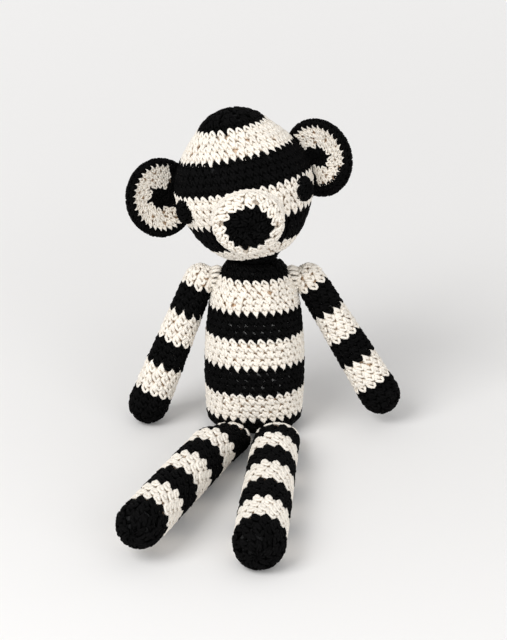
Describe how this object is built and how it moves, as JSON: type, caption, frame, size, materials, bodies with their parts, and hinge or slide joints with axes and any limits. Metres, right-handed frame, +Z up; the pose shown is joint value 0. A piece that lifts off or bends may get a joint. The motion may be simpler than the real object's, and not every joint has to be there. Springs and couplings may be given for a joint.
{
  "type": "crocheted teddy bear",
  "caption": "Crocheted stuffed bear in cream and black stripes that sits with its legs forward, with a round muzzle, disc ears and sewn-on limbs that swing.",
  "frame": {"origin": "on the surface that the bear sits on, below the foot of the torso's axis", "axes": "+Z up; the bear faces -Y, and its own left side is at +X"},
  "size_m": [0.164, 0.2481, 0.1883],
  "materials": {
    "striped_crochet": "single crochet in thick cream and black cotton yarn, in bands of a few rounds",
    "cream_yarn": "matte plied cotton yarn, cream",
    "black_yarn": "matte plied cotton yarn, black",
    "fibrefill": "loose white polyester stuffing"
  },
  "bodies": {
    "torso": {"torso_shell": "striped_crochet", "torso_stuffing": "fibrefill"},
    "neck": {"neck_ball": "black_yarn"},
    "neck_tie": {"neck_knot": "black_yarn"},
    "head": {"head_shell": "striped_crochet", "head_stuffing": "fibrefill", "muzzle_shell": "striped_crochet", "muzzle_stuffing": "fibrefill", "muzzle_seam": "cream_yarn", "right_eye": "black_yarn", "left_eye": "black_yarn", "right_ear": "striped_crochet", "left_ear": "striped_crochet", "right_ear_seam": "black_yarn", "left_ear_seam": "black_yarn"},
    "right_arm_tie": {"right_arm_knot": "cream_yarn"},
    "right_arm": {"right_arm_shell": "striped_crochet", "right_arm_stuffing": "fibrefill"},
    "left_arm_tie": {"left_arm_knot": "cream_yarn"},
    "left_arm": {"left_arm_shell": "striped_crochet", "left_arm_stuffing": "fibrefill"},
    "right_leg_tie": {"right_leg_knot": "cream_yarn"},
    "right_leg": {"right_leg_shell": "striped_crochet", "right_leg_stuffing": "fibrefill"},
    "left_leg_tie": {"left_leg_knot": "cream_yarn"},
    "left_leg": {"left_leg_shell": "striped_crochet", "left_leg_stuffing": "fibrefill"}
  },
  "joints": [
    {"name": "neck_tilt", "type": "hinge", "parent": "torso", "child": "neck", "pos_m": [0, 0.01997, 0.11325], "axis": [0, 0.9848, -0.1736], "range_deg": [-9, 33], "stiffness_Nm_per_rad": 0.4},
    {"name": "neck_nod", "type": "hinge", "parent": "neck", "child": "neck_tie", "pos_m": [0, 0.01997, 0.11325], "axis": [0.9799, 0.0346, 0.1963], "range_deg": [-10, 18], "stiffness_Nm_per_rad": 0.4},
    {"name": "neck_turn", "type": "hinge", "parent": "neck_tie", "child": "head", "pos_m": [0, 0.01997, 0.11325], "axis": [-0.1986, 0.2553, 0.9462], "range_deg": [-45, 45], "stiffness_Nm_per_rad": 0.2},
    {"name": "right_arm_swing", "type": "hinge", "parent": "torso", "child": "right_arm_tie", "pos_m": [-0.03247, 0.01563, 0.08863], "axis": [-1, 0, 0], "range_deg": [-40, 130], "stiffness_Nm_per_rad": 0.03},
    {"name": "right_arm_lift", "type": "hinge", "parent": "right_arm_tie", "child": "right_arm", "pos_m": [-0.03247, 0.01563, 0.08863], "axis": [0, 0.9848, -0.1736], "range_deg": [-5, 65], "stiffness_Nm_per_rad": 0.03},
    {"name": "left_arm_swing", "type": "hinge", "parent": "torso", "child": "left_arm_tie", "pos_m": [0.03247, 0.01563, 0.08863], "axis": [-1, 0, 0], "range_deg": [-40, 130], "stiffness_Nm_per_rad": 0.03},
    {"name": "left_arm_lift", "type": "hinge", "parent": "left_arm_tie", "child": "left_arm", "pos_m": [0.03247, 0.01563, 0.08863], "axis": [0, -0.9848, 0.1736], "range_deg": [-14, 56], "stiffness_Nm_per_rad": 0.03},
    {"name": "right_leg_swing", "type": "hinge", "parent": "torso", "child": "right_leg_tie", "pos_m": [-0.0154, -0.03557, 0.008], "axis": [-1, 0, 0], "range_deg": [-75, 60], "stiffness_Nm_per_rad": 0.3},
    {"name": "right_leg_spread", "type": "hinge", "parent": "right_leg_tie", "child": "right_leg", "pos_m": [-0.0154, -0.03557, 0.008], "axis": [0, 0, -1], "range_deg": [-12, 20], "stiffness_Nm_per_rad": 0.3},
    {"name": "left_leg_swing", "type": "hinge", "parent": "torso", "child": "left_leg_tie", "pos_m": [0.0134, -0.03631, 0.008], "axis": [-1, 0, 0], "range_deg": [-75, 60], "stiffness_Nm_per_rad": 0.3},
    {"name": "left_leg_spread", "type": "hinge", "parent": "left_leg_tie", "child": "left_leg", "pos_m": [0.0134, -0.03631, 0.008], "axis": [0, 0, 1], "range_deg": [-3, 40], "stiffness_Nm_per_rad": 0.3}
  ]
}
